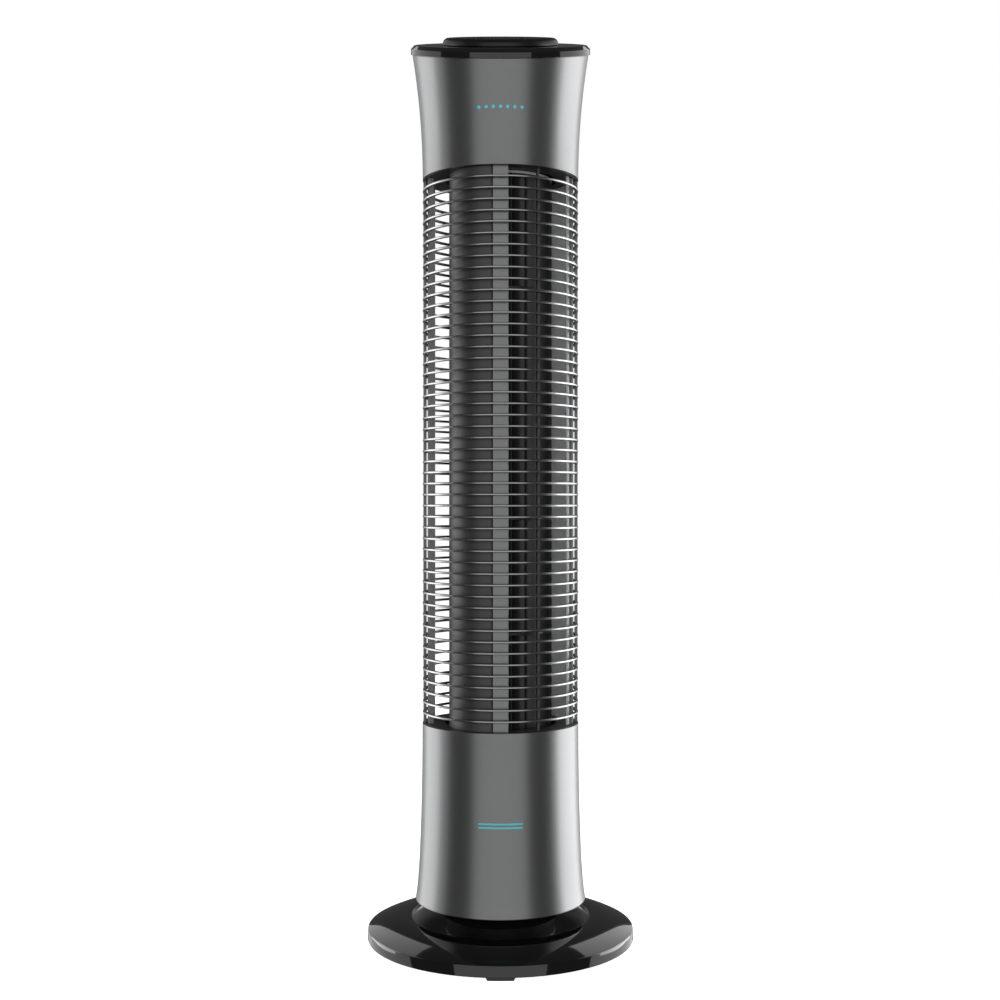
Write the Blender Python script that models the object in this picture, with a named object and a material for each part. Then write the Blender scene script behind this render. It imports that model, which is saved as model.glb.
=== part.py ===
"""Oscillating tower fan, 762 mm tall: round base, swivelling tower, cross-flow wheel.

Lengths are in millimetres until mesh_object() turns them into metres. +Z is up, the front
of the fan faces -Y, and the origin lies on the floor under the tower's axis.
"""
import math

import bmesh
import bpy

MM = 0.001

# ---- Fits shared by all pieces ----
FIT = 0.3            # between pieces that touch
RUN = 0.8            # round a piece that turns inside another
SHELL = 2.5          # wall of the moulded covers
ROUND = 28           # sides of a large round piece
MEDIUM_ROUND = 20    # sides of a motor's round pieces
SMALL_ROUND = 12     # sides of a shaft, a screw or a button

# ---- Base ----
FOOT_H = 4.0
FOOT_INSET = 5.7     # from the base's rim to a foot's outer edge
FOOT_DEPTH = 10.0
FOOT_TOP_W = 24.0
FOOT_BOTTOM_W = 20.4
BASE_R = 108.7
RIM_H = 9.6
RIM_EDGE = 1.2
DISH_RISE = 9.1      # from the rim's top to the lip
DISH_SLOPE = 0.05    # of the dish's top beside the lip; it steepens toward the rim
LIP_R = 74.2
LIP_W = 1.4
BOWL_DEPTH = 13.6    # from the lip down to the recess's floor
NECK_R = 44.2
NECK_H = 16.9        # above the recess's floor
BOWL_FLOOR_R = NECK_R + 5.8
POST_R = 16.0
WIRE_R = 8.0         # wiring hole down the middle
BASE_PLATE_T = 2.0
BASE_SCREW_R = BASE_R - 16.7
SCREW_R = 1.7
SCREW_HEAD_R = 3.2
SCREW_HEAD_H = 1.5
BOSS_R = 4.5

# ---- Swivel between base and tower ----
WASHER_T = 1.4
SWIVEL_WALL = 2.0
SWIVEL_FLANGE_T = 2.5
SWIVEL_SKIRT = 6.0   # reach of the ring below the flange
END_PLAY = 0.5
GEAR_T = 3.0
GEAR_ROOM = 2.35     # between the pinion's teeth and the neck's radius
SECTOR_TEETH = 30    # of the whole circle; only an arc of them is cut
SECTOR_HALF = 48.0   # degrees of teeth to each side of the rear
PINION_TEETH = 12
TOOTH_THINNING = 0.35
TOOTH_TIP = 0.9      # in modules, above the pitch circle
TOOTH_ROOT = 1.2     # in modules, below it
PRESSURE_ANGLE = math.radians(20.0)
PINION_SHAFT_R = 2.5

# ---- Tower ----
TOWER_LIFT = 1.6     # collar's lower edge above the gear
LOWER_COLLAR_H = 144.3
TOWER_R = 64.2
FLARE = 4.2          # widening toward the collar's lower edge
FLARE_POWER = 2.2
LIP_FLARE = 1.35     # further widening, close to the edge only
LIP_FLARE_POWER = 12
LIP_CHAMFER = 0.5
FLOOR_T = 2.5
FLOOR_RECESS = 0.9
GRILLE_H = 445.0
GRILLE_R = TOWER_R - 0.2
RING_GAPS = 50
RING_H = 1.8
BAR_ANGLE = 3.2      # degrees covered by the bar that ends each half of the grille
FRONT_COLUMNS = 8
REAR_COLUMNS = 6
FRAME_R = GRILLE_R - 4.0  # radius that the duct's parts stay inside, behind the rings
UPPER_COLLAR_H = 104.3
TOP_R = GRILLE_R + 8.4
TILT = math.radians(19.0)

# ---- Duct and wheel ----
WHEEL_R = 42.4
BLADE_IN_R = WHEEL_R - 9.0
BLADES = 24
BLADE_SKEW = 12.0    # degrees between a blade's inner and outer edge
BLADE_T = 0.95
WHEEL_SEGMENTS = 5
DISC_T = 2.0
WELL_GAP = 2.9
WELL_WALL = 2.2
FLANGE_T = 3.8
LOWER_WELL = 23.2    # depth of the well that takes the wheel's lower end
UPPER_WELL = 15.2
WHEEL_DROP = 16.7    # from the collar's top down to the middle of the lowest disc
WHEEL_TOP_DROP = 0.8
HUB_R = 9.6
HUB_H = 12.0
BUSH_WALL = 3.0
BUSH_FLANGE = 2.0
BUSH_LIP = 1.0       # reach of the bush below the well's top
STUB_PROUD = 2.0     # of the wheel's upper stub above the bush
PILLAR_HALF = 14.0
LEFT_PILLAR_T = 4.0
RIGHT_PILLAR_T = 1.5
SCROLL_T = 2.0
SCROLL_R = FRAME_R - RIGHT_PILLAR_T - FIT - SCROLL_T
SCROLL_FRONT = -20.0
SCROLL_REAR = 135.0
SCROLL_END_GAP = 3.2
SCROLL_STEPS = 14
STRIP_W = 12.4
STRIP_T = 1.8
TONGUE_T = 2.0
TONGUE_END = -146.0  # degrees from +X to where the stabiliser ends, close to the wheel
TONGUE_GAP = 5.3     # between the wheel and that end
TONGUE_BEND = 0.8    # share of the way to its end, along X, where the stabiliser turns inward
TONGUE_DIP = 0.5     # of that bend behind the strip's rear face
TONGUE_STEPS = 8
RIB_ANGLE = 30.0
RIB_W = 1.7
RIB_D = 3.0

# ---- Motors and boards ----
SHAFT_R = 4.0
MOTOR_R = 34.0
MOTOR_WALL = 2.5
MOTOR_H = 48.0
MOTOR_FLANGE_R = 40.0
STATOR_H = 24.0
STATOR_IN_R = 19.6
ROTOR_STEP = 1.0     # rotor shorter than the stator, at each end
SHAFT_TAIL = 4.0     # of the motor's shaft below the motor
SHAFT_REACH = 10.0   # into the wheel's hub
SWING_MOTOR_R = 24.0
SWING_MOTOR_H = 18.0
BOARD_T = 1.6
BOARD_W = 70.0
BOARD_H = 50.0
BOARD_Y = -30.0
CAPACITOR_W = 30.0
CAPACITOR_D = 12.0
CAPACITOR_H = 22.0
CAPACITOR_X = 18.0
GLAND_Z = 22.0       # above the collar's lower edge
GLAND_R = 5.0
GLAND_BORE = 3.2
GLAND_PROUD = 1.0

# ---- Top ----
CAP_OVERHANG = 1.3
CAP_WALL = 5.0
CAP_H = 8.0
CAP_BEVEL_R = TOP_R - 1.5
CAP_DECK = 2.4
CAP_HOLE_R = 38.0
SKIRT_H = 4.0
DISC_R = 47.5
DISC_H = 5.8
DISC_FILLET = 4.5
DISC_DECK = 1.8
DISC_WALL = 2.2
PANEL_BOARD_T = 1.0
BUTTON_R = 5.0
BUTTON_PROUD = 0.4
BUTTON_FLANGE = 1.6
BUTTON_TRAVEL = 1.0
BUTTON_RING_R = 28.0
BUTTON_ANGLES = (-150.0, -110.0, -70.0, -30.0)
WINDOW_W = 30.0
WINDOW_D = 12.0
WINDOW_Y = 10.0

# ---- Heights that follow ----
RIM_TOP = FOOT_H + RIM_H
LIP_Z = RIM_TOP + DISH_RISE
BOWL_Z = LIP_Z - BOWL_DEPTH
NECK_TOP = BOWL_Z + NECK_H
WASHER_Z = NECK_TOP + FIT
SWIVEL_Z = WASHER_Z + WASHER_T + FIT
POST_TOP = SWIVEL_Z + SWIVEL_FLANGE_T + END_PLAY
GEAR_Z = POST_TOP + FIT
TOWER_Z = GEAR_Z + GEAR_T + TOWER_LIFT
FLOOR_Z = TOWER_Z + FLOOR_RECESS
GRILLE_Z = TOWER_Z + LOWER_COLLAR_H
GRILLE_TOP = GRILLE_Z + GRILLE_H
PLANE_Z = GRILLE_TOP + UPPER_COLLAR_H
DUCT_Z = GRILLE_Z + FIT
DUCT_TOP = GRILLE_TOP - FIT
WHEEL_Z = GRILLE_Z - WHEEL_DROP
WHEEL_TOP = GRILLE_TOP - WHEEL_TOP_DROP
SEGMENT_H = (WHEEL_TOP - WHEEL_Z) / WHEEL_SEGMENTS
WELL_R = WHEEL_R + WELL_GAP
GEAR_MODULE = (NECK_R - GEAR_ROOM) / (SECTOR_TEETH / 2 + PINION_TEETH + TOOTH_TIP)
GEAR_DISTANCE = GEAR_MODULE * (SECTOR_TEETH + PINION_TEETH) / 2


# ---- Shapes ----
def material(name, colour, roughness, metallic=0.0):
    made = bpy.data.materials.new(name)
    made.use_nodes = True
    shader = made.node_tree.nodes["Principled BSDF"]
    shader.inputs["Base Color"].default_value = (*colour, 1.0)
    shader.inputs["Roughness"].default_value = roughness
    shader.inputs["Metallic"].default_value = metallic
    return made


def mesh_object(name, points, faces, look, parent=None):
    """An object from points in millimetres, with its faces turned outward."""
    mesh = bpy.data.meshes.new(name)
    mesh.from_pydata([(x * MM, y * MM, z * MM) for x, y, z in points], [], faces)
    work = bmesh.new()
    work.from_mesh(mesh)
    bmesh.ops.recalc_face_normals(work, faces=work.faces)
    work.to_mesh(mesh)
    work.free()
    mesh.shade_smooth()
    mesh.set_sharp_from_angle(angle=math.radians(35))
    mesh.materials.append(look)
    made = bpy.data.objects.new(name, mesh)
    bpy.context.collection.objects.link(made)
    made.parent = parent
    return made


def lofted(name, section_at, look, sides=ROUND, parent=None):
    """Close the sections (radius, height) found at each angle round the Z axis."""
    sections = [section_at(2 * math.pi * k / sides) for k in range(sides)]
    count = len(sections[0])
    points, index = [], {}
    for row in range(count):
        on_axis = sections[0][row][0] == 0
        for k in range(sides):
            if on_axis and k:
                index[row, k] = index[row, 0]
                continue
            radius, height = sections[k][row]
            angle = 2 * math.pi * k / sides
            index[row, k] = len(points)
            points.append((radius * math.cos(angle), radius * math.sin(angle), height))
    faces = []
    for row in range(count):
        for k in range(sides):
            after, beside = (row + 1) % count, (k + 1) % sides
            corners = [index[row, k], index[row, beside], index[after, beside], index[after, k]]
            face = list(dict.fromkeys(corners))
            if len(face) > 2:
                faces.append(face)
    return mesh_object(name, points, faces, look, parent)


def turned(name, section, look, sides=ROUND, parent=None):
    return lofted(name, lambda angle: section, look, sides, parent)


def tapered(name, lower, upper, z_low, z_high, look, parent=None):
    """A solid between two outlines of the same number of points."""
    count = len(lower)
    points = [(x, y, z_low) for x, y in lower] + [(x, y, z_high) for x, y in upper]
    faces = [list(range(count)), list(range(count, 2 * count))]
    for k in range(count):
        beside = (k + 1) % count
        faces.append([k, beside, count + beside, count + k])
    return mesh_object(name, points, faces, look, parent)


def prism(name, outline, z_low, z_high, look, parent=None):
    return tapered(name, outline, outline, z_low, z_high, look, parent)


def rectangle(x, y, width, depth):
    return [(x - width / 2, y - depth / 2), (x + width / 2, y - depth / 2),
            (x + width / 2, y + depth / 2), (x - width / 2, y + depth / 2)]


def polar(radius, degrees):
    return radius * math.cos(math.radians(degrees)), radius * math.sin(math.radians(degrees))


def arc(radius, start, end, steps):
    return [polar(radius, start + (end - start) * k / steps) for k in range(steps + 1)]


def ring_sector(inner, outer, middle, half, steps=4):
    return (arc(outer, middle - half, middle + half, steps)
            + arc(inner, middle + half, middle - half, steps))


def thick_curve(curve, thickness):
    """The outline of a wall of even thickness along a curve through these points."""
    left, right = [], []
    for k, (x, y) in enumerate(curve):
        before, after = curve[max(k - 1, 0)], curve[min(k + 1, len(curve) - 1)]
        along = math.hypot(after[0] - before[0], after[1] - before[1])
        nx = -(after[1] - before[1]) / along * thickness / 2
        ny = (after[0] - before[0]) / along * thickness / 2
        left.append((x + nx, y + ny))
        right.append((x - nx, y - ny))
    return left + right[::-1]


def rods(name, centres, radius, z_low, z_high, parent=None, sides=SMALL_ROUND):
    """A guide of upright cylinders, used to add bosses or to cut holes."""
    points, faces = [], []
    for x, y in centres:
        first = len(points)
        for z in (z_low, z_high):
            for k in range(sides):
                dx, dy = polar(radius, 360 * k / sides)
                points.append((x + dx, y + dy, z))
        low = list(range(first, first + sides))
        high = [k + sides for k in low]
        faces += [low, high]
        for k in range(sides):
            beside = (k + 1) % sides
            faces.append([low[k], low[beside], high[beside], high[k]])
    return guide(mesh_object(name, points, faces, GUIDE_LOOK, parent))


def guide(made):
    made.hide_render = True
    made.display_type = 'WIRE'
    return made


def combine(target, tool, operation):
    step = target.modifiers.new(tool.name, 'BOOLEAN')
    step.operation = operation
    step.solver = 'EXACT'
    step.object = tool


# ---- Profiles of the tower ----
def lower_collar_r(z):
    """Outer radius of the lower collar, which flares toward its lower edge."""
    down = min(max((GRILLE_Z - z) / LOWER_COLLAR_H, 0.0), 1.0)
    return TOWER_R + FLARE * down ** FLARE_POWER + LIP_FLARE * down ** LIP_FLARE_POWER


def plane_z(y):
    """Height of the slanted plane that ends the upper collar."""
    return PLANE_Z + math.tan(TILT) * y


def upper_collar_point(angle, share, inward=0.0):
    """A point of the upper collar at a share of its height; it reaches TOP_R at the plane."""
    top = plane_z((TOP_R - inward) * math.sin(angle))
    radius = GRILLE_R - inward + (TOP_R - GRILLE_R) * share ** 2
    return radius, GRILLE_TOP + (top - GRILLE_TOP) * share


def gear_outline(teeth, first, last, turn):
    """Involute teeth number first to last; the rest of the circle stays at the root."""
    pitch_r = GEAR_MODULE * teeth / 2
    base_r = pitch_r * math.cos(PRESSURE_ANGLE)
    root_r = pitch_r - TOOTH_ROOT * GEAR_MODULE
    tip_r = pitch_r + TOOTH_TIP * GEAR_MODULE

    def half_angle(radius):
        slope = math.acos(min(base_r / radius, 1.0))
        half = (math.pi * GEAR_MODULE / 2 - TOOTH_THINNING) / (2 * pitch_r)
        return (half + (math.tan(PRESSURE_ANGLE) - PRESSURE_ANGLE)
                - (math.tan(slope) - slope))

    outline = []
    for tooth in range(teeth):
        middle = turn + 360 * tooth / teeth
        if not first <= tooth <= last:
            outline.append(polar(root_r, middle))
            continue
        for side, radii in ((-1, (root_r, pitch_r, tip_r)), (1, (tip_r, pitch_r, root_r))):
            for radius in radii:
                outline.append(polar(radius, middle + side * math.degrees(half_angle(radius))))
    return outline


# ---- Base ----
def dish_z(radius):
    """Height of the dish's top between the lip and the rim."""
    width = BASE_R - RIM_EDGE - LIP_R
    share = (radius - LIP_R) / width
    gentle = DISH_SLOPE * width
    return LIP_Z - gentle * share - (DISH_RISE - gentle) * share ** 2


def build_base():
    quarter = [math.radians(22.5 * k) for k in range(5)]
    bowl = [(BOWL_FLOOR_R + (LIP_R - LIP_W - BOWL_FLOOR_R) * math.cos(a),
             LIP_Z - (LIP_Z - BOWL_Z) * math.sin(a)) for a in quarter]
    under_bowl = [(BOWL_FLOOR_R + (LIP_R + SHELL - BOWL_FLOOR_R) * math.cos(a),
                   LIP_Z - SHELL - (LIP_Z - BOWL_Z) * math.sin(a)) for a in quarter[1:]]
    dish = [BASE_R - RIM_EDGE - (BASE_R - RIM_EDGE - LIP_R) * k / 4 for k in range(5)]
    section = [(BASE_R, FOOT_H), (BASE_R, RIM_TOP - RIM_EDGE)]
    section += [(radius, dish_z(radius)) for radius in dish] + bowl
    section += [(NECK_R, BOWL_Z), (NECK_R, NECK_TOP), (POST_R, NECK_TOP), (POST_R, POST_TOP),
                (WIRE_R, POST_TOP), (WIRE_R, NECK_TOP - SHELL),
                (NECK_R - SHELL, NECK_TOP - SHELL), (NECK_R - SHELL, BOWL_Z - SHELL)]
    section += under_bowl[::-1] + [(radius, dish_z(radius) - SHELL) for radius in dish[3:0:-1]]
    section += [(BASE_R - SHELL, RIM_TOP - SHELL), (BASE_R - SHELL, FOOT_H)]
    cover = turned("base_cover", section, BLACK_GLOSS)

    screws = [polar(BASE_SCREW_R, 45 + 90 * k) for k in range(4)]
    plate_top = FOOT_H + BASE_PLATE_T
    boss_top = dish_z(BASE_SCREW_R) - SHELL / 2
    combine(cover, rods("base_bosses", screws, BOSS_R, plate_top + FIT, boss_top), 'UNION')
    combine(cover, rods("base_pilot_holes", screws, SCREW_R + FIT, FOOT_H, boss_top - SHELL), 'DIFFERENCE')
    plate_r = BASE_R - SHELL - FIT
    plate = turned("base_plate", [(plate_r, FOOT_H), (plate_r, plate_top),
                                  (WIRE_R, plate_top), (WIRE_R, FOOT_H)], DARK_PLASTIC)
    combine(plate, rods("plate_holes", screws, SCREW_R + FIT, 0, LIP_Z), 'DIFFERENCE')
    for number, (x, y) in enumerate(screws, start=1):
        head = FOOT_H - FIT - SCREW_HEAD_H
        tip = boss_top - SHELL - FIT
        screw = turned(f"base_screw_{number}",
                       [(0, head), (SCREW_HEAD_R, head), (SCREW_HEAD_R, head + SCREW_HEAD_H),
                        (SCREW_R, head + SCREW_HEAD_H), (SCREW_R, tip - SCREW_R), (0, tip)],
                       STEEL, SMALL_ROUND)
        screw.location = (x * MM, y * MM, 0)

    outer = BASE_R - FOOT_INSET
    for name, middle in (("front", -90), ("right", 0), ("rear", 90), ("left", 180)):
        outlines = [ring_sector(outer - FOOT_DEPTH, outer, middle, math.degrees(width / 2 / outer))
                    for width in (FOOT_BOTTOM_W, FOOT_TOP_W)]
        tapered(f"foot_{name}", outlines[0], outlines[1], 0, FOOT_H - FIT, RUBBER)


def build_swivel():
    turned("thrust_washer", [(NECK_R - RUN, WASHER_Z), (NECK_R - RUN, WASHER_Z + WASHER_T),
                             (POST_R + RUN, WASHER_Z + WASHER_T), (POST_R + RUN, WASHER_Z)],
           WHITE_PLASTIC)
    inner = NECK_R + RUN
    outer = inner + SWIVEL_WALL
    flange_top = SWIVEL_Z + SWIVEL_FLANGE_T
    turned("swivel_ring",
           [(outer, SWIVEL_Z - SWIVEL_SKIRT + SWIVEL_WALL / 2), (outer, FLOOR_Z - FIT),
            (inner, FLOOR_Z - FIT), (inner, flange_top), (POST_R + RUN, flange_top),
            (POST_R + RUN, SWIVEL_Z), (inner, SWIVEL_Z), (inner, SWIVEL_Z - SWIVEL_SKIRT),
            (outer - SWIVEL_WALL / 2, SWIVEL_Z - SWIVEL_SKIRT)], BLACK_GLOSS)
    reach = int(SECTOR_HALF * SECTOR_TEETH / 360)
    gear = prism("sector_gear", gear_outline(SECTOR_TEETH, 0, 2 * reach, 90 - 360 * reach / SECTOR_TEETH),
                 GEAR_Z, GEAR_Z + GEAR_T, WHITE_PLASTIC)
    combine(gear, rods("gear_bore", [(0, 0)], WIRE_R, 0, TOWER_Z, sides=ROUND), 'DIFFERENCE')

    pinion = prism("pinion", gear_outline(PINION_TEETH, 0, PINION_TEETH, 90 + 180 / PINION_TEETH),
                   GEAR_Z, GEAR_Z + GEAR_T, WHITE_PLASTIC)
    pinion.location = (0, GEAR_DISTANCE * MM, 0)
    shaft = rods("pinion_shaft", [(0, 0)], PINION_SHAFT_R, GEAR_Z + GEAR_T / 2, FLOOR_Z + FLOOR_T)
    shaft.location = pinion.location
    combine(pinion, shaft, 'UNION')


# ---- Tower shells ----
def build_lower_collar():
    levels = [0.0, 0.05, 0.15, 0.35, 0.65, 1.0]
    outer = [(lower_collar_r(TOWER_Z + share * LOWER_COLLAR_H), TOWER_Z + share * LOWER_COLLAR_H)
             for share in levels]
    inner = [(radius - SHELL, z) for radius, z in outer[::-1]]
    outer[0] = (outer[0][0] - LIP_CHAMFER, TOWER_Z)
    collar = turned("lower_collar", outer + inner, SILVER)

    gland_z = TOWER_Z + GLAND_Z
    hole = rods("gland_hole", [(0, 0)], GLAND_R + FIT, 0, 2 * TOWER_R)
    hole.rotation_euler.x = math.radians(-90)
    hole.location.z = gland_z * MM
    combine(collar, hole, 'DIFFERENCE')
    wall = lower_collar_r(gland_z)
    gland = turned("cord_gland",
                   [(GLAND_R, wall - 2 * SHELL), (GLAND_R, wall),
                    (GLAND_R - GLAND_PROUD, wall + GLAND_PROUD), (GLAND_BORE, wall + GLAND_PROUD),
                    (GLAND_BORE, wall - 2 * SHELL)], RUBBER, SMALL_ROUND)
    gland.rotation_euler.x = math.radians(-90)
    gland.location.z = gland_z * MM

    floor_r = lower_collar_r(FLOOR_Z + FLOOR_T) - SHELL - FIT
    floor = turned("tower_floor", [(floor_r, FLOOR_Z), (floor_r, FLOOR_Z + FLOOR_T),
                                   (WIRE_R, FLOOR_Z + FLOOR_T), (WIRE_R, FLOOR_Z)], DARK_PLASTIC)
    combine(floor, rods("pinion_shaft_hole", [(0, GEAR_DISTANCE)], PINION_SHAFT_R + RUN, 0, GRILLE_Z),
            'DIFFERENCE')


def grille_half(name, facing, columns):
    """Half of the grille: rings between two upright bars, with a bar's FIT to the other half."""
    edge = math.degrees(FIT / 2 / GRILLE_R)
    start, end = facing - 90 + edge, facing + 90 - edge
    step = (end - start - 2 * BAR_ANGLE) / columns
    inner_r = (FRAME_R + FIT) / math.cos(math.radians(step / 2))
    angles = [start + BAR_ANGLE + step * k for k in range(columns + 1)]
    pitch = GRILLE_H / RING_GAPS
    bands = []
    for k in range(RING_GAPS + 1):
        middle = GRILLE_Z + pitch * k
        bands.append((max(middle - RING_H / 2, GRILLE_Z + FIT),
                      min(middle + RING_H / 2, GRILLE_TOP - FIT)))
    levels = [z for band in bands for z in band]

    points, index = [], {}
    for side, radius in enumerate((GRILLE_R, inner_r)):
        for column, angle in enumerate([start] + angles + [end]):
            at_bar_end = column in (0, columns + 2)
            for level in ((0, len(levels) - 1) if at_bar_end else range(len(levels))):
                index[side, column, level] = len(points)
                points.append((*polar(radius, angle), levels[level]))

    def corner(side, column, level):
        return index[side, column, level]

    faces = []
    last = len(levels) - 1
    for column in range(1, columns + 1):
        for level in range(0, last, 2):
            for side in (0, 1):
                faces.append([corner(side, column, level), corner(side, column + 1, level),
                              corner(side, column + 1, level + 1), corner(side, column, level + 1)])
        for level in range(last + 1):
            faces.append([corner(0, column, level), corner(0, column + 1, level),
                          corner(1, column + 1, level), corner(1, column, level)])
    for bar_end, bar_side in ((0, 1), (columns + 2, columns + 1)):
        for side in (0, 1):
            faces.append([corner(side, bar_end, last), corner(side, bar_end, 0)]
                         + [corner(side, bar_side, level) for level in range(last + 1)])
        faces.append([corner(0, bar_end, 0), corner(0, bar_end, last),
                      corner(1, bar_end, last), corner(1, bar_end, 0)])
        for level in (0, last):
            faces.append([corner(0, bar_end, level), corner(0, bar_side, level),
                          corner(1, bar_side, level), corner(1, bar_end, level)])
        for level in range(1, last, 2):
            faces.append([corner(0, bar_side, level), corner(0, bar_side, level + 1),
                          corner(1, bar_side, level + 1), corner(1, bar_side, level)])
    mesh_object(name, points, faces, CHROME)


def build_upper_collar():
    shares = [0.0, 0.25, 0.5, 0.75, 1.0]

    def section_at(angle):
        outer = [upper_collar_point(angle, share) for share in shares]
        return outer + [upper_collar_point(angle, share, SHELL) for share in shares[::-1]]

    lofted("upper_collar", section_at, SILVER)


# ---- Duct ----
def build_duct():
    skirt_r = TOWER_R - SHELL - FIT
    well_floor = GRILLE_Z - LOWER_WELL
    turned("duct_floor",
           [(skirt_r, GRILLE_Z), (WELL_R, GRILLE_Z), (WELL_R, well_floor),
            (SHAFT_R + 2 * RUN, well_floor), (SHAFT_R + 2 * RUN, well_floor - SHELL),
            (WELL_R + WELL_WALL, well_floor - SHELL), (WELL_R + WELL_WALL, GRILLE_Z - FLANGE_T),
            (skirt_r, GRILLE_Z - FLANGE_T)], DARK_PLASTIC)
    well_top = GRILLE_TOP + UPPER_WELL
    skirt_r = GRILLE_R - SHELL - FIT
    bush_r = SHAFT_R + 2 * RUN + BUSH_WALL
    turned("duct_ceiling",
           [(skirt_r, GRILLE_TOP), (WELL_R, GRILLE_TOP), (WELL_R, well_top), (bush_r, well_top),
            (bush_r, well_top + SHELL), (WELL_R + WELL_WALL, well_top + SHELL),
            (WELL_R + WELL_WALL, GRILLE_TOP + FLANGE_T), (skirt_r, GRILLE_TOP + FLANGE_T)],
           DARK_PLASTIC)
    turned("top_bush",
           [(bush_r - FIT, well_top - BUSH_LIP), (bush_r - FIT, well_top + SHELL + FIT),
            (bush_r + BUSH_FLANGE, well_top + SHELL + FIT),
            (bush_r + BUSH_FLANGE, well_top + 2 * SHELL),
            (SHAFT_R + RUN, well_top + 2 * SHELL), (SHAFT_R + RUN, well_top - BUSH_LIP)],
           BRONZE, SMALL_ROUND)

    prism("left_pillar", ring_sector(FRAME_R - LEFT_PILLAR_T, FRAME_R, 180, PILLAR_HALF),
          DUCT_Z, DUCT_TOP, GREY_PLASTIC)
    prism("right_pillar", ring_sector(FRAME_R - RIGHT_PILLAR_T, FRAME_R, 0, PILLAR_HALF),
          DUCT_Z, DUCT_TOP, GREY_PLASTIC)
    strip_y = -math.sqrt(FRAME_R ** 2 - (STRIP_W / 2) ** 2)
    prism("centre_strip", rectangle(0, strip_y + STRIP_T / 2, STRIP_W, STRIP_T),
          DUCT_Z, DUCT_TOP, SILVER)

    rib = prism("grille_rib", rectangle(0, -FRAME_R + RIB_D / 2, RIB_W, RIB_D),
                DUCT_Z, DUCT_TOP, DARK_PLASTIC)
    rib.rotation_euler.z = math.radians(RIB_ANGLE)

    end_r = WHEEL_R + SCROLL_END_GAP
    scroll = []
    for k in range(SCROLL_STEPS + 1):
        angle = SCROLL_FRONT + (SCROLL_REAR - SCROLL_FRONT) * k / SCROLL_STEPS
        share = max(angle, 0) / SCROLL_REAR
        scroll.append(polar(SCROLL_R + SCROLL_T / 2 + (end_r - SCROLL_R) * share, angle))
    prism("scroll_wall", thick_curve(scroll, SCROLL_T), DUCT_Z, DUCT_TOP, LIGHT_PLASTIC)

    start = (-STRIP_W / 2 - FIT, strip_y + STRIP_T)
    finish = polar(WHEEL_R + TONGUE_GAP + TONGUE_T / 2, TONGUE_END)
    bend = (TONGUE_BEND * finish[0], start[1] + TONGUE_DIP)
    tongue = []
    for k in range(TONGUE_STEPS + 1):
        t = k / TONGUE_STEPS
        tongue.append(tuple((1 - t) ** 2 * a + 2 * t * (1 - t) * b + t ** 2 * c
                            for a, b, c in zip(start, bend, finish)))
    prism("stabiliser", thick_curve(tongue, TONGUE_T), DUCT_Z, DUCT_TOP, DARK_PLASTIC)


# ---- Wheel ----
def wheel_segment(name, z_low):
    """A ring with blades that stand on it and reach up to the next ring."""
    z_ring = z_low + DISC_T
    z_tip = z_low + SEGMENT_H - FIT
    spans = []
    for k in range(BLADES):
        middle = 360 * k / BLADES
        for side in (-1, 1):
            inner = middle + side * math.degrees(BLADE_T / 2 / BLADE_IN_R)
            outer = middle + BLADE_SKEW + side * math.degrees(BLADE_T / 2 / WHEEL_R)
            spans.append((polar(BLADE_IN_R, inner), polar(WHEEL_R, outer)))
    points = [(*point, z) for z in (z_low, z_ring, z_tip) for span in spans for point in span]
    count = len(spans)

    def corner(level, k, side):
        return (level * count + k % count) * 2 + side

    faces = []
    for k in range(count):
        faces.append([corner(0, k, 0), corner(0, k, 1), corner(0, k + 1, 1), corner(0, k + 1, 0)])
        for side in (0, 1):
            faces.append([corner(0, k, side), corner(0, k + 1, side),
                          corner(1, k + 1, side), corner(1, k, side)])
        if k % 2:
            faces.append([corner(1, k, 0), corner(1, k, 1), corner(1, k + 1, 1), corner(1, k + 1, 0)])
            continue
        faces.append([corner(2, k, 0), corner(2, k, 1), corner(2, k + 1, 1), corner(2, k + 1, 0)])
        for side in (0, 1):
            faces.append([corner(1, k, side), corner(1, k + 1, side),
                          corner(2, k + 1, side), corner(2, k, side)])
            faces.append([corner(1, k + side, 0), corner(1, k + side, 1),
                          corner(2, k + side, 1), corner(2, k + side, 0)])
    used = {index for face in faces for index in face}
    order = {index: place for place, index in enumerate(sorted(used))}
    mesh_object(name, [points[index] for index in sorted(used)],
                [[order[index] for index in face] for face in faces], WHEEL_BLACK)


def build_wheel():
    for number in range(WHEEL_SEGMENTS):
        wheel_segment(f"wheel_segment_{number + 1}", WHEEL_Z - DISC_T / 2 + number * SEGMENT_H)
    low = WHEEL_Z - DISC_T / 2
    turned("wheel_hub",
           [(BLADE_IN_R - FIT, low), (BLADE_IN_R - FIT, low + DISC_T), (HUB_R, low + DISC_T),
            (HUB_R, low + HUB_H), (SHAFT_R + FIT, low + HUB_H), (SHAFT_R + FIT, low)],
           WHEEL_BLACK, MEDIUM_ROUND)
    top = WHEEL_TOP - DISC_T / 2
    stub_top = GRILLE_TOP + UPPER_WELL + 2 * SHELL + STUB_PROUD
    turned("wheel_top",
           [(0, top), (WHEEL_R, top), (WHEEL_R, top + DISC_T), (SHAFT_R, top + DISC_T),
            (SHAFT_R, stub_top), (0, stub_top)], WHEEL_GREY, MEDIUM_ROUND)


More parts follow.
